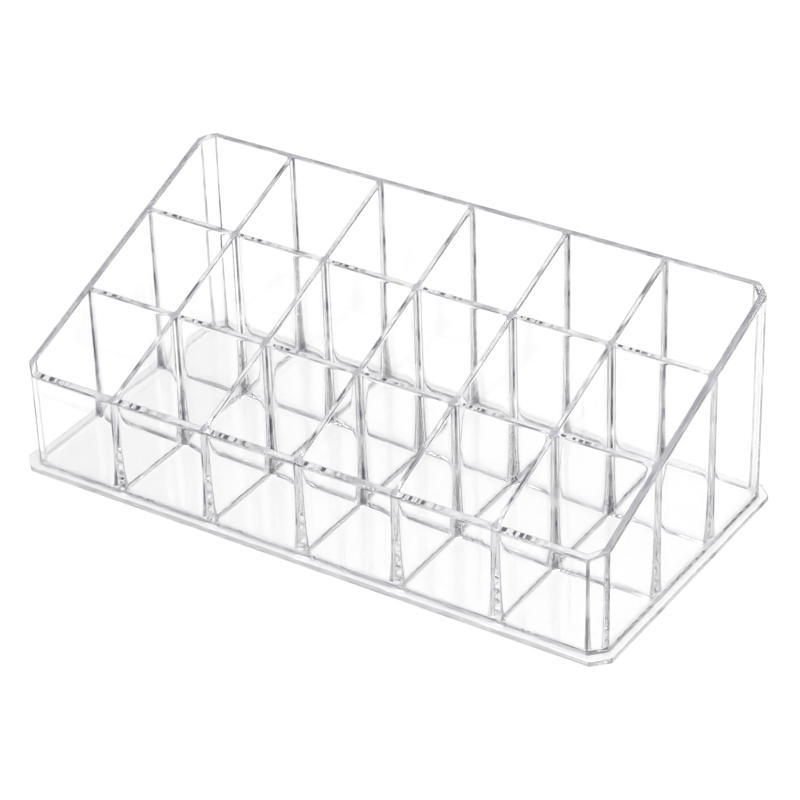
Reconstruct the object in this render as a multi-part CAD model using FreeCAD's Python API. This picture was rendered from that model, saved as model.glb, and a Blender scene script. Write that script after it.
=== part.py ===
import FreeCAD, Part
import math
import os

# Clear vanity organizer: a base plate, a ring of upright wall panels with cut-off corners, and a grid of
# dividers that cross by half laps. All top edges lie in one plane that rises towards the back.
# Millimetres, +Z up, +Y towards the back, origin at the middle of the base plate's underside.

# Base plate
base_length = 185.0
base_depth = 93.5
base_thickness = 1.6
base_corner_leg = 4.2

# Wall panels, with heights above the base plate's top
base_overhang = 2.0
wall_thickness = 2.0
wall_corner_leg = 4.0
front_height = 28.5
back_height = 63.0

# Divider grid
column_count = 6
row_count = 3
divider_thickness = 1.5
lap_share = 0.5
lap_clearance = 0.1

# Worked out from the driving dimensions
body_length = base_length - 2 * base_overhang
body_depth = base_depth - 2 * base_overhang
inner_length = body_length - 2 * wall_thickness
inner_depth = body_depth - 2 * wall_thickness
inner_corner_leg = wall_corner_leg - wall_thickness * (2 - math.sqrt(2))
compartment_width = (inner_length - (column_count - 1) * divider_thickness) / column_count
compartment_depth = (inner_depth - (row_count - 1) * divider_thickness) / row_count
column_pitch = compartment_width + divider_thickness
row_pitch = compartment_depth + divider_thickness


def height_at(y):
    """Height of the sloping top above the base plate, from the front wall's face to the back wall's inside."""
    run = body_depth - wall_thickness
    return front_height + (back_height - front_height) * (y + body_depth / 2) / run


def cut_corner_rectangle(length, depth, leg):
    """Plan corners of a rectangle with its corners cut off, anticlockwise from the left end of the front."""
    x = length / 2
    y = depth / 2
    return [
        (leg - x, -y),
        (x - leg, -y),
        (x, leg - y),
        (x, y - leg),
        (x - leg, y),
        (leg - x, y),
        (-x, y - leg),
        (-x, leg - y),
    ]


def prism(corners, bottom, height):
    """Solid with this plan outline between two levels."""
    points = [FreeCAD.Vector(x, y, bottom) for x, y in corners]
    outline = Part.makePolygon(points + points[:1])
    return Part.Face(outline).extrude(FreeCAD.Vector(0, 0, height))


def space_under_top():
    """Everything between the base plate and the plane of the top edges, which is level over the back wall."""
    front = -body_depth / 2
    back = body_depth / 2
    profile = [
        (front, 0),
        (back, 0),
        (back, back_height),
        (back - wall_thickness, back_height),
        (front, front_height),
    ]
    points = [FreeCAD.Vector(-body_length / 2, y, base_thickness + z) for y, z in profile]
    outline = Part.makePolygon(points + points[:1])
    return Part.Face(outline).extrude(FreeCAD.Vector(body_length, 0, 0))


def upright(corners):
    """Plate that stands on the base plate and ends at the sloping top."""
    return prism(corners, base_thickness, back_height).common(space_under_top()).Solids[0]


def divider_places(count, pitch):
    """Middle planes of the dividers that split a span into equal compartments."""
    return [pitch * (i - count / 2) for i in range(1, count)]


def rectangle(x_middle, y_middle, length, depth):
    """Plan corners of a plain rectangle."""
    x = length / 2
    y = depth / 2
    return [
        (x_middle - x, y_middle - y),
        (x_middle + x, y_middle - y),
        (x_middle + x, y_middle + y),
        (x_middle - x, y_middle + y),
    ]


def lap_height(y):
    """Height above the base plate at which crossing dividers meet."""
    return lap_share * height_at(y)


def column_divider(x):
    """Front to back divider, slotted from below over each row divider."""
    plate = upright(rectangle(x, 0, divider_thickness, inner_depth))
    slot_width = divider_thickness + 2 * lap_clearance
    for y in row_places:
        slot = rectangle(x, y, divider_thickness, slot_width)
        plate = plate.cut(prism(slot, base_thickness, lap_height(y)))
    return plate.Solids[0]


def row_divider(y):
    """Side to side divider, slotted from above under each column divider."""
    plate = upright(rectangle(0, y, inner_length, divider_thickness))
    slot_width = divider_thickness + 2 * lap_clearance
    for x in column_places:
        slot = rectangle(x, y, slot_width, divider_thickness)
        plate = plate.cut(prism(slot, base_thickness + lap_height(y), back_height))
    return plate.Solids[0]


def wall_ring():
    """The eight wall panels, mitred where they meet, by name."""
    names = [
        "front_wall",
        "front_right_corner",
        "right_wall",
        "back_right_corner",
        "back_wall",
        "back_left_corner",
        "left_wall",
        "front_left_corner",
    ]
    outside = cut_corner_rectangle(body_length, body_depth, wall_corner_leg)
    inside = cut_corner_rectangle(inner_length, inner_depth, inner_corner_leg)
    panels = {}
    for i, name in enumerate(names):
        after = (i + 1) % len(names)
        panels[name] = upright([outside[i], outside[after], inside[after], inside[i]])
    return panels


column_places = divider_places(column_count, column_pitch)
row_places = divider_places(row_count, row_pitch)

pieces = {"base_plate": prism(cut_corner_rectangle(base_length, base_depth, base_corner_leg), 0, base_thickness)}
pieces.update(wall_ring())
for number, x in enumerate(column_places, start=1):
    pieces[f"column_divider_{number}"] = column_divider(x)
for number, y in enumerate(row_places, start=1):
    pieces[f"row_divider_{number}"] = row_divider(y)

os.makedirs("parts", exist_ok=True)
for name, shape in pieces.items():
    shape.exportStep(os.path.join("parts", name + ".step"))
    print(name, "valid", shape.isValid(), "solids", len(shape.Solids), "volume", round(shape.Volume, 1))
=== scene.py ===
import logging
import math
from collections.abc import Callable
from dataclasses import dataclass
from enum import Enum
from functools import partial

import bmesh
import bpy
from bmesh.types import BMesh, BMFace, BMVert
from bpy.types import GeometryNodeTree, ID, Material, Mesh, Node, NodeSocket, NodeTree, Object
from mathutils import Matrix, Vector


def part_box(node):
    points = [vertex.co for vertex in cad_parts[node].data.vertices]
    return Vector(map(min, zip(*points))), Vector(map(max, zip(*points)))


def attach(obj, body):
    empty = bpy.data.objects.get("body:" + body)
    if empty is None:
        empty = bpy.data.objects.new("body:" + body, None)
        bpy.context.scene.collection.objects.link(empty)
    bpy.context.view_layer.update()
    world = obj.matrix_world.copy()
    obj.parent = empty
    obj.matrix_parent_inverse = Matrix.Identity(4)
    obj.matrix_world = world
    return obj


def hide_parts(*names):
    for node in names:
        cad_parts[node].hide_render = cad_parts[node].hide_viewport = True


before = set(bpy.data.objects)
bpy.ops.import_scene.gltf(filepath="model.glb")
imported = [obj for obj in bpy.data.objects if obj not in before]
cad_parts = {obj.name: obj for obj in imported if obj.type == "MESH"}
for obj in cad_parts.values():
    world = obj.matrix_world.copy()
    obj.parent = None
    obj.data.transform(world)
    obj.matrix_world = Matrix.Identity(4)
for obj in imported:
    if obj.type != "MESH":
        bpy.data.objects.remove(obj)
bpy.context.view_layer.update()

BODY = "root"
MM = 0.001
# Points nearer than this lie on the same face of a solid
NEAR = 0.01 * MM
# Growth of a cut-off corner's leg for each unit that the outline moves outward
LEG_GROWTH = 2 - math.sqrt(2)
# Makes a rounded corner's painted edge shade full over most of its arc
ARC_GAIN = 1.6
# Vertex attributes: how much painted edge shade a vertex gets, and how deep the waves are there
EDGE = "edge"
GIVE = "give"
# Socket numbers of a colour Mix node, whose sockets share their names
MIX_A = 6
MIX_B = 7
MIX_RESULT = 2

Point = tuple[float, float]
Outline = list[tuple[float, float, float]]
AddNode = Callable[..., Node]

logging.basicConfig(level=logging.INFO, format="%(message)s")
log = logging.getLogger("organizer")


# Shared helpers

def linear(hex_colour: str) -> tuple[float, float, float, float]:
    """Turns an sRGB hex colour into linear RGBA.

    Args:
        hex_colour: Six hex digits after a hash sign.

    Returns:
        Red, green, blue and an alpha of 1.
    """
    parts = [int(hex_colour[i:i + 2], 16) / 255 for i in (1, 3, 5)]
    red, green, blue = (p / 12.92 if p <= 0.04045 else ((p + 0.055) / 1.055) ** 2.4 for p in parts)
    return red, green, blue, 1.0


def add_node(tree: NodeTree, kind: str, values: dict | None = None) -> Node:
    """Adds a node with its settings and its incoming links.

    Args:
        tree: The node tree that gets the node.
        kind: The node's Blender type name.
        values: What goes into each input, by its name or number, or into a property where no input has the
            name: a plain value, a socket to link, or a node that stands for its first output.

    Returns:
        The new node.
    """
    node = tree.nodes.new(kind)
    for name, value in (values or {}).items():
        if isinstance(value, Node):
            value = value.outputs[0]
        if isinstance(value, NodeSocket):
            tree.links.new(value, node.inputs[name])
        elif isinstance(name, int) or name in node.inputs:
            node.inputs[name].default_value = value
        else:
            setattr(node, name, value)
    return node


def new_material(name: str) -> tuple[Material, AddNode]:
    """Makes a material with an empty node tree.

    Args:
        name: The material's name.

    Returns:
        The material and what adds a node to its tree.
    """
    material = bpy.data.materials.new(name)
    material.use_nodes = True
    material.node_tree.nodes.clear()
    return material, partial(add_node, material.node_tree)


def plain_mesh(name: str, made: BMesh) -> Mesh:
    """Turns an edit mesh into a plain mesh and frees it.

    Args:
        name: The mesh's name.
        made: The edit mesh.

    Returns:
        The plain mesh.
    """
    mesh = bpy.data.meshes.new(name)
    made.to_mesh(mesh)
    made.free()
    return mesh


def add_object(name: str, data: ID) -> Object:
    """Adds an object to the scene.

    Args:
        name: The object's name.
        data: Its mesh, lamp or camera.

    Returns:
        The object.
    """
    made = bpy.data.objects.new(name, data)
    bpy.context.scene.collection.objects.link(made)
    return made


# Finishes

class Surface(Enum):
    """Which finish a face of the body has, as its material slot number."""

    PANEL = 0
    RIM = 1
    BOND = 2
    FLANGE = 3


# Acrylic sheet, polished on its faces and satin where its edge was cut. Polished faces all but vanish, and
# the round edges, which gather the dark side of the room, get painted shade: grey lines in the colour that
# pale in patches. Patches and waves are drawn coarser than real ones, so that they show.
@dataclass(frozen=True)
class AcrylicFace:
    """Clear acrylic: colourless on its faces, with painted grey shade on round edges for the dark room they
    gather.
    """

    name: str = "polished_acrylic_face"
    face_tint: str = "#ffffff"
    edge_painted_shade: str = "#26283a"
    ior: float = 1.49
    roughness: float = 0.0
    patch_mm: float = 7.0
    patch_from: float = 0.35
    patch_to: float = 0.62
    patch_least: float = 0.5
    wave_mm: float = 9.0
    wave_depth_mm: float = 0.006

    def build(self) -> Material:
        """Makes the material.

        Returns:
            The material.
        """
        material, add = new_material(self.name)
        place = add("ShaderNodeTexCoord").outputs["Object"]
        edge = add("ShaderNodeAttribute", {"attribute_name": EDGE})
        patches = add("ShaderNodeTexNoise", {
            "Scale": 1 / (self.patch_mm * MM), "Detail": 2.0, "Vector": place})
        strength = add("ShaderNodeMapRange", {
            "From Min": self.patch_from, "From Max": self.patch_to, "To Min": self.patch_least,
            "To Max": 1.0, "Value": patches})
        # Painted shade: round edges turn grey, paler in patches, for the dark room that they gather
        share = add("ShaderNodeMath", {"operation": "MULTIPLY", 0: edge.outputs["Fac"], 1: strength})
        tint = add("ShaderNodeMix", {
            "data_type": "RGBA", MIX_A: linear(self.face_tint), MIX_B: linear(self.edge_painted_shade),
            "Factor": share})
        waves = add("ShaderNodeTexNoise", {"Scale": 1 / (self.wave_mm * MM), "Detail": 1.0, "Vector": place})
        bump = add("ShaderNodeBump", {"Strength": 1.0, "Distance": self.wave_depth_mm * MM, "Height": waves})
        shader = add("ShaderNodeBsdfPrincipled", {
            "IOR": self.ior, "Roughness": self.roughness, "Transmission Weight": 1.0,
            "Base Color": tint.outputs[MIX_RESULT], "Normal": bump})
        add("ShaderNodeOutputMaterial", {"Surface": shader})
        return material


# Acrylic sheet, cut and left satin. Its top edges get painted shade: soft grey bands with lighter stretches,
# and the rims along the length get painted reflections, short dark and white bars beside each crossing, where
# they mirror the dividers. The bars are drawn coarser than the real ones, so that they show.
@dataclass(frozen=True)
class CutRim:
    """Flat top edges of the walls and dividers, coloured with painted shade and painted reflections."""

    column_pitch: float
    row_pitch: float
    first_row: float
    rim_width: float
    inside_half_length: float
    inside_half_depth: float
    name: str = "cut_acrylic_rim"
    # Painted shade and painted reflections: these greys stand for the dark room and the dividers seen in the
    # clear rims
    light: str = "#ffffff"
    dark: str = "#34363e"
    wall: str = "#74767f"
    crossing_shade: str = "#9a9ca4"
    bar: str = "#202228"
    gap: str = "#fbfbfc"
    ior: float = 1.49
    roughness: float = 0.42
    stretch_mm: float = 9.0
    stretch_from: float = 0.46
    stretch_to: float = 0.62
    wall_share: float = 0.8
    pale_start: float = -0.2
    pale_most: float = 0.9
    bar_mm: float = 1.8
    bar_from: float = 0.46
    bar_to: float = 0.56
    bars_full: float = 0.3
    bars_end: float = 0.65

    def masks(self, add: AddNode, x: NodeSocket, y: NodeSocket) -> tuple[Node, Node]:
        """Finds the rims of the side and back walls, and the rims that run along the length.

        Args:
            add: Adds a node to the material.
            x: Place along the length.
            y: Place along the depth.

        Returns:
            For each kind, a node that gives 1 on these rims and 0 elsewhere.
        """
        aside = add("ShaderNodeMath", {"operation": "ABSOLUTE", 0: x})
        at_end = add("ShaderNodeMath", {"operation": "GREATER_THAN", 0: aside, 1: self.inside_half_length})
        at_back = add("ShaderNodeMath", {"operation": "GREATER_THAN", 0: y, 1: self.inside_half_depth})
        on_wall = add("ShaderNodeMath", {"operation": "MAXIMUM", 0: at_end, 1: at_back})
        from_row = add("ShaderNodeMath", {"operation": "SUBTRACT", 0: y, 1: self.first_row})
        distance = add("ShaderNodeMath", {"operation": "PINGPONG", 0: from_row, 1: self.row_pitch / 2})
        on_row = add("ShaderNodeMath", {"operation": "LESS_THAN", 0: distance, 1: self.rim_width})
        return on_wall, on_row

    def greys(self, add: AddNode, place: NodeSocket, on_wall: Node) -> NodeSocket:
        """Paints shade on the rims: grey with lighter stretches, more evenly on the walls.

        Args:
            add: Adds a node to the material.
            place: Object coordinates.
            on_wall: 1 on the rims of the side and back walls.

        Returns:
            The colour.
        """
        stretches = add("ShaderNodeTexNoise", {
            "Scale": 1 / (self.stretch_mm * MM), "Detail": 2.0, "Vector": place})
        tone = add("ShaderNodeMapRange", {
            "From Min": self.stretch_from, "From Max": self.stretch_to, "Value": stretches})
        grey = add("ShaderNodeMix", {
            "data_type": "RGBA", MIX_A: linear(self.light), MIX_B: linear(self.dark), "Factor": tone})
        even = add("ShaderNodeMath", {"operation": "MULTIPLY", 0: on_wall, 1: self.wall_share})
        colour = add("ShaderNodeMix", {
            "data_type": "RGBA", "Factor": even, MIX_A: grey.outputs[MIX_RESULT], MIX_B: linear(self.wall)})
        return colour.outputs[MIX_RESULT]

    def bars(self, add: AddNode, x: NodeSocket) -> tuple[Node, NodeSocket]:
        """Draws painted reflections of the dividers: bars that start beside each crossing and fade out to its
        right.

        Args:
            add: Adds a node to the material.
            x: Place along the length.

        Returns:
            How much the bars show, and their colour.
        """
        past = add("ShaderNodeMath", {"operation": "WRAP", 0: x, 1: self.column_pitch, 2: 0.0})
        fade = add("ShaderNodeMapRange", {
            "From Min": self.bars_full * self.column_pitch, "From Max": self.bars_end * self.column_pitch,
            "To Min": 1.0, "To Max": 0.0, "Value": past})
        clear = add("ShaderNodeMath", {"operation": "GREATER_THAN", 0: past, 1: self.rim_width})
        shown = add("ShaderNodeMath", {"operation": "MULTIPLY", 0: fade, 1: clear})
        along = add("ShaderNodeMath", {"operation": "DIVIDE", 0: x, 1: self.bar_mm * MM})
        noise = add("ShaderNodeTexNoise", {
            "noise_dimensions": "1D", "Scale": 1.0, "Detail": 1.0, "W": along})
        tone = add("ShaderNodeMapRange", {
            "From Min": self.bar_from, "From Max": self.bar_to, "Value": noise})
        colour = add("ShaderNodeMix", {
            "data_type": "RGBA", MIX_A: linear(self.gap), MIX_B: linear(self.bar), "Factor": tone})
        return shown, colour.outputs[MIX_RESULT]

    def build(self) -> Material:
        """Makes the material.

        Returns:
            The material.
        """
        material, add = new_material(self.name)
        place = add("ShaderNodeTexCoord").outputs["Object"]
        part = add("ShaderNodeSeparateXYZ", {"Vector": place})
        x = part.outputs["X"]
        on_wall, on_row = self.masks(add, x, part.outputs["Y"])
        row_only = add("ShaderNodeMath", {"operation": "SUBTRACT", "use_clamp": True, 0: on_row, 1: on_wall})
        # Painted light: rims along the length pale toward the right end
        paling = add("ShaderNodeMapRange", {
            "From Min": self.pale_start * self.inside_half_length, "From Max": self.inside_half_length,
            "To Max": self.pale_most, "Value": x})
        shown, bar_colour = self.bars(add, x)
        # Crossings get an even grey of painted shade
        distance = add("ShaderNodeMath", {"operation": "PINGPONG", 0: x, 1: self.column_pitch / 2})
        on_column = add("ShaderNodeMath", {"operation": "LESS_THAN", 0: distance, 1: self.rim_width / 2})
        colour = self.greys(add, place, on_wall)
        layers = ((paling, row_only, linear(self.gap)), (shown, row_only, bar_colour),
                  (on_column, on_row, linear(self.crossing_shade)))
        for amount, mask, layer in layers:
            share = add("ShaderNodeMath", {"operation": "MULTIPLY", 0: amount, 1: mask})
            mixed = add("ShaderNodeMix", {"data_type": "RGBA", "Factor": share, MIX_A: colour, MIX_B: layer})
            colour = mixed.outputs[MIX_RESULT]
        shader = add("ShaderNodeBsdfPrincipled", {
            "IOR": self.ior, "Roughness": self.roughness, "Transmission Weight": 1.0, "Base Color": colour})
        add("ShaderNodeOutputMaterial", {"Surface": shader})
        return material


# Acrylic, solvent-cemented. Both sides have melted together, so light passes unbent and the seam can't be
# seen, but for a trace of grey where it lies level.
@dataclass(frozen=True)
class CementBond:
    """Cemented seam inside the acrylic."""

    name: str = "acrylic_cement_bond"
    upright_tint: str = "#ffffff"
    level_tint: str = "#fafafb"

    def build(self) -> Material:
        """Makes the material.

        Returns:
            The material.
        """
        material, add = new_material(self.name)
        facing = add("ShaderNodeNewGeometry").outputs["True Normal"]
        part = add("ShaderNodeSeparateXYZ", {"Vector": facing})
        level = add("ShaderNodeMath", {"operation": "ABSOLUTE", 0: part.outputs["Z"]})
        tint = add("ShaderNodeMix", {
            "data_type": "RGBA", MIX_A: linear(self.upright_tint), MIX_B: linear(self.level_tint),
            "Factor": level})
        shader = add("ShaderNodeBsdfTransparent", {"Color": tint.outputs[MIX_RESULT]})
        add("ShaderNodeOutputMaterial", {"Surface": shader})
        return material


# Sizes and outlines

def highest_at_front(node: str) -> float:
    """Height of a node's top edge on its front face, in metres."""
    low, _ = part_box(node)
    return max(v.co.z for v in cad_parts[node].data.vertices if v.co.y - low.y < NEAR)


@dataclass(frozen=True)
class Sizes:
    """Sizes of the CAD part in metres, read from the frame."""

    half_length: float
    half_depth: float
    wall: float
    corner_leg: float
    base_half_length: float
    base_half_depth: float
    base_corner_leg: float
    base_top: float
    front_top: float
    back_top: float
    divider: float
    columns: tuple[float, ...]
    rows: tuple[float, ...]

    @classmethod
    def from_frame(cls) -> "Sizes":
        """Reads the sizes from the boxes of the CAD nodes.

        Returns:
            The sizes.
        """
        _, base_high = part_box("base_plate")
        front_low, front_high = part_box("front_wall")
        left_low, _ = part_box("left_wall")
        _, back_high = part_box("back_wall")
        base_points = [v.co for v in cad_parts["base_plate"].data.vertices]
        front_end = max(p.x for p in base_points if base_high.y + p.y < NEAR)
        names = sorted(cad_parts)
        columns = [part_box(n) for n in names if n.startswith("column_divider")]
        rows = [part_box(n) for n in names if n.startswith("row_divider")]
        return cls(
            half_length=-left_low.x,
            half_depth=-front_low.y,
            wall=front_high.y - front_low.y,
            corner_leg=front_low.x - left_low.x,
            base_half_length=base_high.x,
            base_half_depth=base_high.y,
            base_corner_leg=base_high.x - front_end,
            base_top=base_high.z,
            front_top=highest_at_front("front_wall"),
            back_top=back_high.z,
            divider=rows[0][1].y - rows[0][0].y,
            columns=tuple((low.x + high.x) / 2 for low, high in columns),
            rows=tuple((low.y + high.y) / 2 for low, high in rows),
        )

    def top(self, y: float) -> float:
        """Gives the height of the top edges at a depth: one slope, level over the back wall.

        Args:
            y: Place along the depth.

        Returns:
            The height.
        """
        run = 2 * self.half_depth - self.wall
        rise = (self.back_top - self.front_top) * (y + self.half_depth) / run
        return min(self.back_top, self.front_top + rise)


def cut_corner_points(half_x: float, half_y: float, leg: float, out: float = 0.0) -> list[Point]:
    """Finds the corners of a rectangle with cut-off corners.

    Args:
        half_x: Half its length.
        half_y: Half its depth.
        leg: How much of each side a cut takes.
        out: Distance that the outline is moved outward.

    Returns:
        The corners, anticlockwise from the left end of the front.
    """
    x, y, cut = half_x + out, half_y + out, leg + out * LEG_GROWTH
    return [(cut - x, -y), (x - cut, -y), (x, cut - y), (x, y - cut),
            (x - cut, y), (cut - x, y), (-x, y - cut), (-x, cut - y)]


def corner_arc(before: Point, corner: Point, after: Point, radius: float, steps: int) -> Outline:
    """Rounds one corner of an outline.

    Args:
        before: The corner before it.
        corner: The corner.
        after: The corner after it.
        radius: Radius of the arc.
        steps: Segments of the arc.

    Returns:
        Points with their x, y and how far they lie in the corner, from 0 at its ends to 1 in its middle.
    """
    here = Vector(corner)
    arriving = (here - Vector(before)).normalized()
    leaving = (Vector(after) - here).normalized()
    turn = -arriving.angle_signed(leaving)
    inward = Vector((-arriving.y, arriving.x))
    centre = here - arriving * radius * math.tan(turn / 2) + inward * radius
    arc = []
    for step in range(steps + 1):
        share = step / steps
        point = centre + Matrix.Rotation(turn * share, 2) @ -inward * radius
        arc.append((point.x, point.y, min(1.0, ARC_GAIN * math.sin(math.pi * share))))
    return arc


def rounded_outline(corners: list[Point], radius: float, arc_steps: int, side_steps: list[int]) -> Outline:
    """Rounds the corners of a plan outline and divides its sides.

    Args:
        corners: The outline's corners, anticlockwise.
        radius: Radius of the rounded corners.
        arc_steps: Segments around each corner.
        side_steps: Segments along the side after each corner.

    Returns:
        Points with their x, y and how far they lie in a rounded corner.
    """
    count = len(corners)
    arcs = [corner_arc(corners[i - 1], corners[i], corners[(i + 1) % count], radius, arc_steps)
            for i in range(count)]
    points = []
    for i, arc in enumerate(arcs):
        points += arc
        x0, y0, _ = arc[-1]
        x1, y1, _ = arcs[(i + 1) % count][0]
        for step in range(1, side_steps[i]):
            share = step / side_steps[i]
            points.append((x0 + (x1 - x0) * share, y0 + (y1 - y0) * share, 0.0))
    return points


# Skin of the body

@dataclass(frozen=True)
class SkinRing:
    """One ring of a skin: its points, how much painted edge shade each gets and how deep its waves are."""

    points: list[Vector]
    edges: list[float]
    give: float = 0.0

    @classmethod
    def level(cls, plan: Outline, z: float, edges: list[float], give: float = 0.0) -> "SkinRing":
        """Makes a ring of a plan outline at one height."""
        return cls([Vector((x, y, z)) for x, y, _ in plan], edges, give)


def join_rings(mesh: BMesh, first: list[BMVert], second: list[BMVert], surface: Surface) -> None:
    """Adds a band of faces between two rings of vertices.

    Args:
        mesh: The mesh that holds the vertices.
        first: Vertices of one ring.
        second: Vertices of the next ring, as many.
        surface: The band's finish.
    """
    for i, vertex in enumerate(first):
        after = (i + 1) % len(first)
        face = mesh.faces.new((vertex, first[after], second[after], second[i]))
        face.material_index = surface.value


def add_rings(mesh: BMesh, rings: list[SkinRing]) -> list[list[BMVert]]:
    """Adds rings of vertices and the bands of faces between them.

    Args:
        mesh: The mesh that gets them.
        rings: The rings in order, all with as many points.

    Returns:
        The vertices of each ring.
    """
    edge = mesh.verts.layers.float.new(EDGE)
    give = mesh.verts.layers.float.new(GIVE)
    made = []
    for ring in rings:
        vertices = []
        for point, amount in zip(ring.points, ring.edges):
            vertex = mesh.verts.new(point)
            vertex[edge] = amount
            vertex[give] = ring.give
            vertices.append(vertex)
        made.append(vertices)
    for first, second in zip(made, made[1:]):
        join_rings(mesh, first, second, Surface.PANEL)
    return made


@dataclass(frozen=True)
class Pocket:
    """The inside of one compartment: a flat floor, round seams and walls that lean out a little."""

    sizes: Sizes
    low: Point
    high: Point
    cut_corner: int | None
    rim_radius: float
    floor_radius: float = 0.85 * MM
    lean: float = 0.3 * MM
    foot_corner_radius: float = 1.8 * MM
    top_corner_radius: float = 0.6 * MM
    least_radius: float = 0.2 * MM
    foot_height: float = 6.0 * MM
    support: float = 0.4 * MM
    wall_give: float = 0.04 * MM
    seam_give: float = 0.45 * MM
    row_seam_edge: float = 1.0
    column_seam_edge: float = 0.2
    wall_edge: float = 1.0
    rim_edge: float = 0.9
    corner_steps: int = 6
    side_steps: int = 10
    floor_steps: int = 7
    rim_steps: int = 3
    wall_shares: tuple[float, ...] = (0.0, 0.015, 0.06, 0.12, 0.2, 0.3, 0.42, 0.55, 0.7, 0.85, 0.985, 1.0)

    def corners(self, inset: float) -> list[Point]:
        """Finds the pocket's plan corners at an inset from its limits.

        Args:
            inset: The inset.

        Returns:
            Four corners, or five with a cut-off one, anticlockwise.
        """
        x0, y0 = self.low[0] + inset, self.low[1] + inset
        x1, y1 = self.high[0] - inset, self.high[1] - inset
        leg = self.sizes.corner_leg - (self.sizes.wall + inset) * LEG_GROWTH
        found = []
        for i, (x, y) in enumerate([(x0, y0), (x1, y0), (x1, y1), (x0, y1)]):
            if i != self.cut_corner:
                found.append((x, y))
                continue
            along_x = (x + (leg if x == x0 else -leg), y)
            along_y = (x, y + (leg if y == y0 else -leg))
            found += [along_y, along_x] if i % 2 == 0 else [along_x, along_y]
        return found

    def outline(self, inset: float, radius: float) -> Outline:
        """Gives the pocket's plan outline at an inset from its limits."""
        corners = self.corners(inset)
        return rounded_outline(corners, radius, self.corner_steps, [self.side_steps] * len(corners))

    def corner_radius(self, height: float) -> float:
        """Gives the corner radius at a height above the floor: wide at the foot, small above it."""
        fade = math.exp(-max(0.0, height) / self.foot_height)
        return self.top_corner_radius + (self.foot_corner_radius - self.top_corner_radius) * fade

    def seam_edge(self, x: float, y: float) -> float:
        """Gives how much painted edge shade the floor's seam gets: more along the length than along the
        depth.

        Args:
            x: Place along the length.
            y: Place along the depth.

        Returns:
            A share from 0 to 1.
        """
        to_column = min(x - self.low[0], self.high[0] - x)
        to_row = min(y - self.low[1], self.high[1] - y)
        return self.row_seam_edge if to_row < to_column else self.column_seam_edge

    def floor_rings(self) -> list[SkinRing]:
        """Makes the rings of the flat floor's rim and of the round seam around it.

        Returns:
            The rings from the floor up.
        """
        floor = self.sizes.base_top
        back = self.floor_radius + self.support
        plan = self.outline(self.lean + back, max(self.least_radius, self.foot_corner_radius - back))
        found = [SkinRing.level(plan, floor, [0.0] * len(plan))]
        for i in range(self.floor_steps):
            share = i / self.floor_steps
            angle = math.radians(90 * share)
            back = self.floor_radius * (1 - math.sin(angle))
            plan = self.outline(self.lean + back, max(self.least_radius, self.foot_corner_radius - back))
            z = floor + self.floor_radius * (1 - math.cos(angle))
            round_share = math.sin(math.pi * share)
            edges = [max(self.seam_edge(x, y) * round_share, turn * share) for x, y, turn in plan]
            found.append(SkinRing.level(plan, z, edges, self.seam_give * round_share))
        return found

    def wall_rings(self) -> list[SkinRing]:
        """Makes the rings of the upright walls.

        Returns:
            The rings from the seam up.
        """
        s = self.sizes
        start = s.base_top + self.floor_radius
        tall = s.top((self.low[1] + self.high[1]) / 2) - start
        found = []
        for share in self.wall_shares:
            plan = self.outline(self.lean * (1 - share), self.corner_radius(share * tall))
            points = [Vector((x, y, start + (s.top(y) - self.rim_radius - start) * share))
                      for x, y, _ in plan]
            give = self.wall_give * math.sin(math.pi * share)
            found.append(SkinRing(points, [self.wall_edge * turn for _, _, turn in plan], give))
        return found

    def rim_rings(self) -> list[SkinRing]:
        """Makes the rings of the rounded inner edge of the rim.

        Returns:
            The rings from the wall up.
        """
        found = []
        for i in range(1, self.rim_steps + 1):
            angle = math.radians(90 * i / self.rim_steps)
            out = self.rim_radius * (1 - math.cos(angle))
            drop = self.rim_radius * (1 - math.sin(angle))
            plan = self.outline(-out, self.top_corner_radius + out)
            points = [Vector((x, y, self.sizes.top(y) - drop)) for x, y, _ in plan]
            edge = self.rim_edge if i < self.rim_steps else self.rim_edge / 2
            found.append(SkinRing(points, [edge] * len(plan)))
        return found

    def build(self) -> Mesh:
        """Makes the pocket's skin, open at the rim.

        Returns:
            The mesh.
        """
        made = bmesh.new()
        rings = add_rings(made, self.floor_rings() + self.wall_rings() + self.rim_rings())
        made.faces.new(rings[0])
        return plain_mesh("pocket_skin", made)


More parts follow.
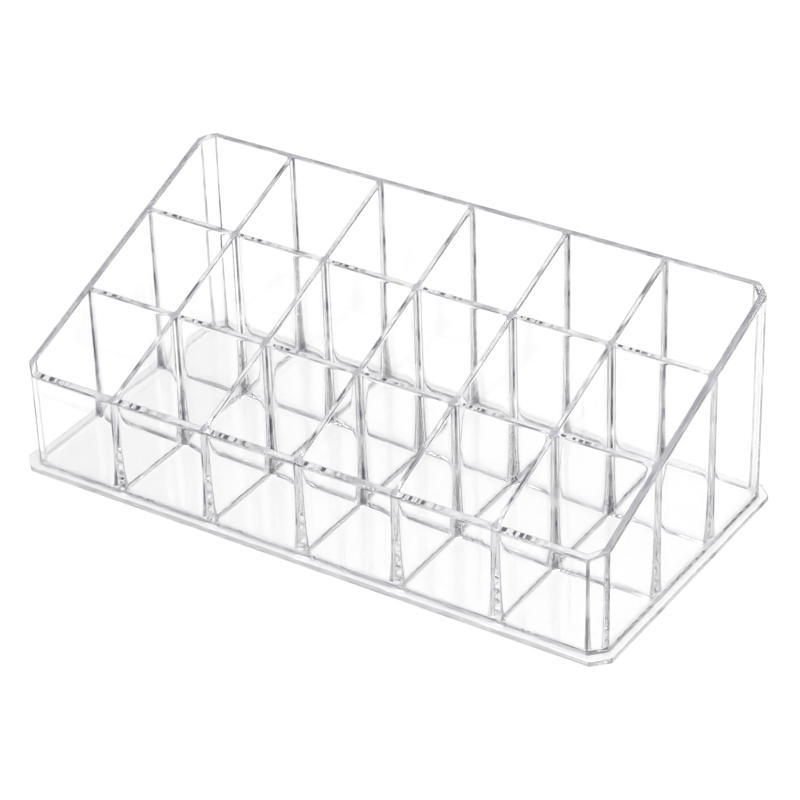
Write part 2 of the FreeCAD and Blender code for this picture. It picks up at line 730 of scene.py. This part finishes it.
@dataclass(frozen=True)
class PocketRow:
    """Equal pockets side by side, repeated by a node tree that also gives their walls slight waves."""

    columns: int
    pitch: float
    material: Material
    wave_size: float = 14.0 * MM
    seed: float = 3.0

    def tree(self) -> GeometryNodeTree:
        """Makes the node tree with its named inputs.

        Returns:
            The tree.
        """
        tree = bpy.data.node_groups.new("pocket_row", "GeometryNodeTree")
        tree.interface.new_socket("Geometry", in_out="OUTPUT", socket_type="NodeSocketGeometry")
        inputs = {"Geometry": "Geometry", "Columns": "Int", "Pitch": "Float", "Wave Size": "Float",
                  "Seed": "Float", "Finish": "Material"}
        for name, kind in inputs.items():
            tree.interface.new_socket(name, in_out="INPUT", socket_type="NodeSocket" + kind)
        add = partial(add_node, tree)
        given = add("NodeGroupInput").outputs
        step = add("ShaderNodeCombineXYZ", {"X": given["Pitch"]})
        line = add("GeometryNodeMeshLine", {"Count": given["Columns"], "Offset": step})
        copies = add("GeometryNodeInstanceOnPoints", {"Points": line, "Instance": given["Geometry"]})
        solid = add("GeometryNodeRealizeInstances", {"Geometry": copies})
        scale = add("ShaderNodeMath", {"operation": "DIVIDE", 0: 1.0, 1: given["Wave Size"]})
        place = add("GeometryNodeInputPosition")
        noise = add("ShaderNodeTexNoise", {
            "noise_dimensions": "4D", "Detail": 1.0, "Vector": place, "W": given["Seed"], "Scale": scale})
        middle = add("ShaderNodeMath", {"operation": "SUBTRACT", 0: noise, 1: 0.5})
        give = add("GeometryNodeInputNamedAttribute", {"data_type": "FLOAT", "Name": GIVE})
        wave = add("ShaderNodeMath", {"operation": "MULTIPLY", 0: middle, 1: give})
        normal = add("GeometryNodeInputNormal")
        push = add("ShaderNodeVectorMath", {"operation": "SCALE", 0: normal, "Scale": wave})
        moved = add("GeometryNodeSetPosition", {"Geometry": solid, "Offset": push})
        dressed = add("GeometryNodeSetMaterial", {"Geometry": moved, "Material": given["Finish"]})
        add("NodeGroupOutput", {"Geometry": dressed})
        return tree

    def build(self, pocket: Mesh) -> Mesh:
        """Repeats a pocket's skin along the row.

        Args:
            pocket: The skin of the row's first pocket.

        Returns:
            A plain mesh of all pockets of the row.
        """
        holder = add_object("pocket_row", pocket)
        modifier = holder.modifiers.new("row", "NODES")
        tree = self.tree()
        modifier.node_group = tree
        values = {"Columns": self.columns, "Pitch": self.pitch, "Wave Size": self.wave_size,
                  "Seed": self.seed, "Finish": self.material}
        for item in tree.interface.items_tree:
            if item.in_out == "INPUT" and item.name in values:
                modifier[item.identifier] = values[item.name]
        graph = bpy.context.evaluated_depsgraph_get()
        made = bpy.data.meshes.new_from_object(holder.evaluated_get(graph))
        bpy.data.objects.remove(holder)
        bpy.data.node_groups.remove(tree)
        return made


@dataclass(frozen=True)
class BodySkin:
    """The whole outer and inner surface of the organizer as one closed mesh."""

    sizes: Sizes
    materials: list[Material]
    rim_radius: float = 0.4 * MM
    foot_radius: float = 0.4 * MM
    base_edge_radius: float = 0.12 * MM
    corner_radius: float = 1.0 * MM
    rim_edge: float = 0.9
    foot_edge: float = 0.4
    base_corner_edge: float = 0.7
    flange_slack: float = 0.01
    corner_steps: int = 4
    turn_steps: int = 3
    side_steps: tuple[int, int, int] = (60, 3, 30)
    wall_shares: tuple[float, ...] = (0.02, 0.15, 0.3, 0.5, 0.7, 0.85, 0.98)

    def outline(self, corners: list[Point]) -> Outline:
        """Rounds and divides the outline of the walls or the base.

        Args:
            corners: Its corners, anticlockwise from the front left.

        Returns:
            The finely divided outline.
        """
        long, corner, short = self.side_steps
        sides = [long, corner, short, corner] * 2
        return rounded_outline(corners, self.corner_radius, self.corner_steps, sides)

    def wall_plan(self, out: float) -> Outline:
        """Gives the outline of the walls, moved outward by a distance."""
        s = self.sizes
        return self.outline(cut_corner_points(s.half_length, s.half_depth, s.corner_leg, out))

    def base_plan(self, out: float) -> Outline:
        """Gives the outline of the base, moved outward by a distance."""
        s = self.sizes
        return self.outline(cut_corner_points(s.base_half_length, s.base_half_depth, s.base_corner_leg, out))

    def turns(self) -> list[tuple[float, float, float]]:
        """Divides a quarter turn.

        Returns:
            The sine and cosine of each step and how much painted edge shade it gets.
        """
        found = []
        for i in range(self.turn_steps + 1):
            angle = math.radians(90 * i / self.turn_steps)
            found.append((math.sin(angle), math.cos(angle), 1.0 if 0 < i < self.turn_steps else 0.5))
        return found

    def wall_rings(self) -> list[SkinRing]:
        """Makes the rings of the rim's outer edge, the walls and their round foot.

        Returns:
            The rings from the rim down.
        """
        s = self.sizes
        rings = []
        for sine, cosine, edge in self.turns():
            plan = self.wall_plan(-self.rim_radius * (1 - sine))
            drop = self.rim_radius * (1 - cosine)
            points = [Vector((x, y, s.top(y) - drop)) for x, y, _ in plan]
            rings.append(SkinRing(points, [self.rim_edge * edge] * len(plan)))
        foot = s.base_top + self.foot_radius
        plan = self.wall_plan(0)
        for share in self.wall_shares:
            points = [Vector((x, y, (s.top(y) - self.rim_radius) * (1 - share) + foot * share))
                      for x, y, _ in plan]
            rings.append(SkinRing(points, [turn for _, _, turn in plan]))
        for sine, cosine, edge in self.turns():
            plan = self.wall_plan(self.foot_radius * (1 - cosine))
            edges = [self.foot_edge * edge] * len(plan)
            rings.append(SkinRing.level(plan, foot - self.foot_radius * sine, edges))
        return rings

    def base_rings(self) -> list[SkinRing]:
        """Makes the rings of the base plate's edges.

        Returns:
            The rings from the base's top down.
        """
        top, radius = self.sizes.base_top, self.base_edge_radius
        upper = [(radius * (1 - sine), top - radius * (1 - cosine)) for sine, cosine, _ in self.turns()]
        lower = [(radius * (1 - cosine), radius * (1 - sine)) for sine, cosine, _ in self.turns()]
        plan = self.base_plan(-2 * radius)
        rings = [SkinRing.level(plan, top, [0.0] * len(plan))]
        for inset, z in upper + lower:
            around = self.base_plan(-inset)
            rings.append(SkinRing.level(around, z, [self.base_corner_edge * turn for _, _, turn in around]))
        rings.append(SkinRing.level(plan, 0, [0.0] * len(plan)))
        return rings

    def pocket(self, column: int, row: int) -> Pocket:
        """Places one compartment between its walls and dividers.

        Args:
            column: Its number from the left.
            row: Its number from the front.

        Returns:
            The compartment.
        """
        s = self.sizes
        x_edges = [-s.half_length + s.wall, *s.columns, s.half_length - s.wall]
        y_edges = [-s.half_depth + s.wall, *s.rows, s.half_depth - s.wall]
        last_x, last_y = len(s.columns), len(s.rows)
        half = s.divider / 2
        low = (x_edges[column] + (half if column > 0 else 0), y_edges[row] + (half if row > 0 else 0))
        high = (x_edges[column + 1] - (half if column < last_x else 0),
                y_edges[row + 1] - (half if row < last_y else 0))
        cuts = {(0, 0): 0, (last_x, 0): 1, (last_x, last_y): 2, (0, last_y): 3}
        return Pocket(s, low, high, cuts.get((column, row)), self.rim_radius)

    def pockets(self) -> list[Mesh]:
        """Makes the skins of all compartments: the plain ones as rows, the ends of each row by themselves.

        Returns:
            The meshes.
        """
        last_x = len(self.sizes.columns)
        pitch = self.sizes.columns[1] - self.sizes.columns[0]
        finish = self.materials[Surface.PANEL.value]
        made = []
        for row in range(len(self.sizes.rows) + 1):
            for column, count in ((1, last_x - 1), (0, 1), (last_x, 1)):
                made.append(PocketRow(count, pitch, finish).build(self.pocket(column, row).build()))
        return made

    def build(self) -> Mesh:
        """Makes the closed skin.

        Returns:
            The mesh with its finishes.
        """
        whole = bmesh.new()
        whole.faces.new(add_rings(whole, self.wall_rings() + self.base_rings())[-1])
        for mesh in self.pockets():
            whole.from_mesh(mesh)
            bpy.data.meshes.remove(mesh)
        self.dress(whole)
        bmesh.ops.recalc_face_normals(whole, faces=whole.faces[:])
        open_edges = sum(1 for e in whole.edges if not e.is_manifold)
        log.info("body skin: %d faces, %d open edges", len(whole.faces), open_edges)
        made = plain_mesh("body_skin", whole)
        for material in self.materials:
            made.materials.append(material)
        return made

    def dress(self, whole: BMesh) -> None:
        """Gives every face its finish and closes the body with its flat rims.

        Args:
            whole: The skin, open at the rims.
        """
        edge = self.base_edge_radius * (1 - self.flange_slack)
        for face in whole.faces:
            on_side = all(edge < v.co.z < self.sizes.base_top - edge for v in face.verts)
            face.material_index = (Surface.FLANGE if on_side else Surface.PANEL).value
        rims = [e for e in whole.edges if e.is_boundary]
        top = bmesh.ops.triangle_fill(
            whole, use_beauty=True, use_dissolve=False, edges=rims, normal=(0, 0, 1))
        for face in top["geom"]:
            if isinstance(face, BMFace):
                face.material_index = Surface.RIM.value


# Pieces

def prism_mesh(outline: list[Point], low: float, high: float) -> BMesh:
    """Makes a closed prism over a plan outline, with every face a cemented seam.

    Args:
        outline: The plan's corners, anticlockwise.
        low: Height of its bottom.
        high: Height of its top.

    Returns:
        The prism.
    """
    made = bmesh.new()
    bottom = [made.verts.new((x, y, low)) for x, y in outline]
    top = [made.verts.new((x, y, high)) for x, y in outline]
    join_rings(made, bottom, top, Surface.BOND)
    for ring in (bottom[::-1], top):
        made.faces.new(ring).material_index = Surface.BOND.value
    return made


def box_outline(x: float, y: float, half_x: float, half_y: float) -> list[Point]:
    """Gives the plan outline of a box around a middle point."""
    signs = ((-1, -1), (1, -1), (1, 1), (-1, 1))
    return [(x + half_x * a, y + half_y * b) for a, b in signs]


@dataclass
class PieceCutter:
    """Splits the body's skin into the pieces of the CAD part along their cemented seams."""

    sizes: Sizes
    skin: Mesh
    seam_lift: float = 0.02 * MM
    ring_reach: float = 2.4 * MM
    divider_reach: float = 2.9 * MM
    margin: float = 1.0 * MM
    lap_share: float = 0.5
    smooth_angle: float = math.radians(35)

    @property
    def seam(self) -> float:
        """Level at which the base plate ends and the upright pieces start."""
        return self.sizes.base_top + self.seam_lift

    @property
    def over(self) -> float:
        """Level above all tops."""
        return self.sizes.back_top + self.margin

    @property
    def reach(self) -> float:
        """How far the outer pieces reach in from the walls' outside, with their round seams."""
        return self.sizes.wall + self.ring_reach

    def lap_height(self, y: float) -> float:
        """Gives the level at which crossing dividers meet."""
        return self.sizes.base_top + self.lap_share * (self.sizes.top(y) - self.sizes.base_top)

    def region(self, *parts: BMesh) -> Object:
        """Joins closed prisms, which don't touch, into one scratch object.

        Args:
            *parts: The prisms, which are freed.

        Returns:
            The object.
        """
        joined = bmesh.new()
        for part in parts:
            scratch = plain_mesh("part", part)
            joined.from_mesh(scratch)
            bpy.data.meshes.remove(scratch)
        mesh = plain_mesh("region", joined)
        for material in self.skin.materials:
            mesh.materials.append(material)
        return add_object("region", mesh)

    def cut(self, node: str, inside: Object, without: Object | None = None) -> Object:
        """Cuts one piece out of the skin.

        Args:
            node: The CAD node that the piece stands for.
            inside: The space that the piece takes.
            without: Space that it leaves to other pieces.

        Returns:
            The piece as a plain mesh object.
        """
        held = add_object("scratch", self.skin)
        tools = {"INTERSECT": inside, "DIFFERENCE": without}
        for operation, tool in tools.items():
            if tool is not None:
                step = held.modifiers.new(operation, "BOOLEAN")
                step.operation = operation
                step.solver = "MANIFOLD"
                step.object = tool
        graph = bpy.context.evaluated_depsgraph_get()
        mesh = bpy.data.meshes.new_from_object(held.evaluated_get(graph))
        bpy.data.objects.remove(held)
        for tool in tools.values():
            if tool is not None:
                bpy.data.meshes.remove(tool.data)
        mesh.name = "clear_" + node
        self.dress(mesh)
        return add_object("clear_" + node, mesh)

    def dress(self, mesh: Mesh) -> None:
        """Shades a piece smooth, with flat rims and seams that stay flat up to their edges.

        Args:
            mesh: The piece's mesh, which already has its finishes.
        """
        mesh.shade_smooth()
        mesh.set_sharp_from_angle(angle=self.smooth_angle)
        finishes = {}
        for face in mesh.polygons:
            for key in face.edge_keys:
                finishes.setdefault(key, set()).add(face.material_index)
        for edge in mesh.edges:
            if len(finishes.get(edge.key, ())) > 1:
                edge.use_edge_sharp = True

    def outside(self) -> dict[str, Object]:
        """Cuts the base plate, the walls and the corner panels, which meet at mitres.

        Returns:
            The pieces by their CAD nodes.
        """
        s = self.sizes
        far = s.base_half_length + self.margin
        slab = prism_mesh(box_outline(0, 0, far, far), -self.margin, self.seam)
        pieces = {"base_plate": self.cut("base_plate", self.region(slab))}
        names = ["front_wall", "front_right_corner", "right_wall", "back_right_corner",
                 "back_wall", "back_left_corner", "left_wall", "front_left_corner"]
        outer = cut_corner_points(s.half_length, s.half_depth, s.corner_leg, self.margin)
        inner = cut_corner_points(s.half_length, s.half_depth, s.corner_leg, -self.reach)
        for i, name in enumerate(names):
            after = (i + 1) % len(names)
            plan = [outer[i], outer[after], inner[after], inner[i]]
            pieces[name] = self.cut(name, self.region(prism_mesh(plan, self.seam, self.over)))
        return pieces

    def dividers(self) -> dict[str, Object]:
        """Cuts the columns, slotted from below, and the rows, slotted from above.

        Returns:
            The pieces by their CAD nodes.
        """
        s = self.sizes
        wide, past = self.divider_reach, self.divider_reach + self.margin
        pieces = {}
        for i, x in enumerate(s.columns, start=1):
            name = f"column_divider_{i}"
            whole = prism_mesh(box_outline(x, 0, wide, s.half_depth - self.reach), self.seam, self.over)
            slots = [prism_mesh(box_outline(x, y, past, wide), 0, self.lap_height(y)) for y in s.rows]
            pieces[name] = self.cut(name, self.region(whole), self.region(*slots))
        for j, y in enumerate(s.rows, start=1):
            name = f"row_divider_{j}"
            whole = prism_mesh(box_outline(0, y, s.half_length - self.reach, wide), self.seam, self.over)
            slots = [prism_mesh(box_outline(x, y, wide, past), self.lap_height(y), self.over + self.margin)
                     for x in s.columns]
            pieces[name] = self.cut(name, self.region(whole), self.region(*slots))
        return pieces

    def build(self) -> dict[str, Object]:
        """Cuts all the pieces."""
        return self.outside() | self.dividers()


# Stage, light and camera

# Matt white paper. It shows no gloss and only the faintest shadow.
@dataclass(frozen=True)
class StudioFloor:
    """Plain pale floor that runs out of sight."""

    name: str = "matt_paper_floor"
    radius: float = 4.0
    segments: int = 96
    gap: float = 0.05 * MM
    colour: str = "#fafafa"
    glow_share: float = 0.94
    brightness: float = 1.03

    def build(self) -> Object:
        """Makes the floor.

        Returns:
            The floor's object.
        """
        made = bmesh.new()
        bmesh.ops.create_circle(made, cap_ends=True, segments=self.segments, radius=self.radius)
        mesh = plain_mesh("studio_floor", made)
        mesh.transform(Matrix.Translation((0, 0, -self.gap)))
        mesh.materials.append(self.finish())
        floor = add_object("studio_floor", mesh)
        return floor

    def finish(self) -> Material:
        """Makes the floor's material, which is plain white where it is seen, also in and through the acrylic.

        Returns:
            The material.
        """
        material, add = new_material(self.name)
        matt = add("ShaderNodeBsdfDiffuse", {"Color": linear(self.colour)})
        glow = add("ShaderNodeEmission", {"Strength": self.brightness})
        path = add("ShaderNodeLightPath").outputs
        seen = add("ShaderNodeMath", {
            "operation": "MAXIMUM", 0: path["Is Camera Ray"], 1: path["Is Glossy Ray"]})
        seen = add("ShaderNodeMath", {"operation": "MAXIMUM", 0: seen, 1: path["Is Transmission Ray"]})
        share = add("ShaderNodeMath", {"operation": "MULTIPLY", 0: seen, 1: self.glow_share})
        mixed = add("ShaderNodeMixShader", {0: share, 1: matt, 2: glow})
        add("ShaderNodeOutputMaterial", {"Surface": mixed})
        return material


@dataclass(frozen=True)
class StudioLight:
    """Soft studio light: a white backdrop behind, a dark room in front, a dark card and a lamp overhead.

    The floors of the left compartments mirror the card, which hangs at the rear left. Each edge is where a
    blend starts and ends, as a share of a direction. Light that has passed many faces sees only the backdrop.
    """

    front_azimuth: float
    brightness: float = 1.03
    backdrop: str = "#ffffff"
    room: str = "#18181b"
    room_edge: Point = (0.36, 0.58)
    many_faces: Point = (5.0, 12.0)
    card: str = "#28282b"
    card_side: Point = (0.02, 0.07)
    card_foot: Point = (0.25, 0.40)
    card_head: Point = (0.80, 0.65)
    lamp_size: float = 0.9
    lamp_power: float = 8.0
    lamp_place: tuple[float, float, float] = (0.1, 0.1, 0.9)

    def build(self) -> None:
        """Makes the world and the lamp."""
        world = bpy.data.worlds.new("studio")
        bpy.context.scene.world = world
        world.use_nodes = True
        world.node_tree.nodes.clear()
        add = partial(add_node, world.node_tree)
        direction = add("ShaderNodeTexCoord").outputs["Generated"]
        around = self.room_colour(add, direction)
        on_card = self.card_share(add, direction)
        seen = add("ShaderNodeMix", {
            "data_type": "RGBA", "Factor": on_card, MIX_A: around, MIX_B: linear(self.card)})
        glow = add("ShaderNodeBackground", {"Strength": self.brightness, "Color": seen.outputs[MIX_RESULT]})
        add("ShaderNodeOutputWorld", {"Surface": glow})
        data = bpy.data.lights.new("softbox", "AREA")
        data.size = self.lamp_size
        data.energy = self.lamp_power
        add_object("softbox", data).location = self.lamp_place

    def room_colour(self, add: AddNode, direction: NodeSocket) -> NodeSocket:
        """Blends from the dark room in front to the white backdrop behind.

        Args:
            add: Adds a node to the world.
            direction: Direction of a ray.

        Returns:
            The colour.
        """
        turn = math.radians(self.front_azimuth)
        toward = add("ShaderNodeVectorMath", {
            "operation": "DOT_PRODUCT", 0: direction, 1: (-math.sin(turn), math.cos(turn), 0)})
        half = add("ShaderNodeMath", {
            "operation": "MULTIPLY_ADD", 0: toward.outputs["Value"], 1: 0.5, 2: 0.5})
        ramp = add("ShaderNodeValToRGB", {"Fac": half})
        for stop, place, colour in zip(ramp.color_ramp.elements, self.room_edge, (self.room, self.backdrop)):
            stop.position = place
            stop.color = linear(colour)
        depth = add("ShaderNodeLightPath").outputs["Ray Depth"]
        few, many = self.many_faces
        deep = add("ShaderNodeMapRange", {"From Min": few, "From Max": many, "Value": depth})
        colour = add("ShaderNodeMix", {
            "data_type": "RGBA", "Factor": deep, MIX_A: ramp, MIX_B: linear(self.backdrop)})
        return colour.outputs[MIX_RESULT]

    def card_share(self, add: AddNode, direction: NodeSocket) -> Node:
        """Finds the card.

        Args:
            add: Adds a node to the world.
            direction: Direction of a ray.

        Returns:
            A node that gives 1 on the card and 0 beside it.
        """
        turn = math.radians(self.front_azimuth)
        aside = add("ShaderNodeVectorMath", {
            "operation": "DOT_PRODUCT", 0: direction, 1: (-math.cos(turn), -math.sin(turn), 0)})
        height = add("ShaderNodeSeparateXYZ", {"Vector": direction}).outputs["Z"]
        low, high = self.card_side
        share = add("ShaderNodeMapRange", {
            "From Min": low, "From Max": high, "Value": aside.outputs["Value"]})
        for low, high in (self.card_foot, self.card_head):
            inside = add("ShaderNodeMapRange", {"From Min": low, "From Max": high, "Value": height})
            share = add("ShaderNodeMath", {"operation": "MULTIPLY", 0: share, 1: inside})
        return share


@dataclass(frozen=True)
class PhotoCamera:
    """Camera at the photograph's viewing angle."""

    azimuth: float = 33.773
    elevation: float = 31.570
    roll: float = -1.837
    distance: float = 815.8 * MM
    aim: tuple[float, float, float] = (0.8 * MM, 3.65 * MM, 23.85 * MM)
    lens: float = 136.32
    nearest: float = 10.0 * MM

    def build(self) -> Object:
        """Makes the camera and sets it as the scene's.

        Returns:
            The camera's object.
        """
        turn, lift = math.radians(self.azimuth), math.radians(self.elevation)
        back = Vector((math.sin(turn) * math.cos(lift), -math.cos(turn) * math.cos(lift), math.sin(lift)))
        data = bpy.data.cameras.new("photo_camera")
        data.lens = self.lens
        data.clip_start = self.nearest
        camera = add_object("photo_camera", data)
        level = (-back).to_track_quat("-Z", "Y").to_matrix().to_4x4()
        place = Matrix.Translation(Vector(self.aim) + back * self.distance)
        camera.matrix_world = place @ level @ Matrix.Rotation(math.radians(self.roll), 4, "Z")
        bpy.context.scene.camera = camera
        return camera


@dataclass(frozen=True)
class LightPaths:
    """How far light is followed: through many layers of clear acrylic before it is given up."""

    clear_bounces: int = 48
    seam_crossings: int = 64
    floor_bounces: int = 3

    def build(self) -> None:
        """Sets the scene's light paths and plain colours."""
        cycles = bpy.context.scene.cycles
        cycles.max_bounces = self.clear_bounces
        cycles.transmission_bounces = self.clear_bounces
        cycles.glossy_bounces = self.clear_bounces
        cycles.transparent_max_bounces = self.seam_crossings
        cycles.diffuse_bounces = self.floor_bounces
        cycles.caustics_reflective = True
        cycles.caustics_refractive = True
        # Colour alone smooths the noise inside clear rims, which also fills the other passes
        cycles.denoising_input_passes = "RGB"
        bpy.context.scene.view_settings.view_transform = "Standard"


def main() -> None:
    """Builds the organizer's pieces, then the stage, light and camera."""
    LightPaths().build()
    sizes = Sizes.from_frame()
    log.info("%s", sizes)
    rim = CutRim(
        column_pitch=sizes.columns[1] - sizes.columns[0],
        row_pitch=sizes.rows[1] - sizes.rows[0],
        first_row=sizes.rows[0],
        rim_width=sizes.wall,
        inside_half_length=sizes.half_length - sizes.wall,
        inside_half_depth=sizes.half_depth - sizes.wall,
    )
    # The flange gets the same painted grey shade on its round edges
    flange = AcrylicFace(name="satin_acrylic_flange", roughness=0.35)
    # In the order of the numbers in Surface
    materials = [finish.build() for finish in (AcrylicFace(), rim, CementBond(), flange)]
    skin = BodySkin(sizes, materials).build()
    for node, piece in PieceCutter(sizes, skin).build().items():
        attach(piece, BODY)
        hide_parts(node)
        log.info("piece %s: %d faces", piece.name, len(piece.data.polygons))
    camera = PhotoCamera()
    StudioFloor().build()
    StudioLight(camera.azimuth).build()
    camera.build()


if __name__ == "__main__":
    main()
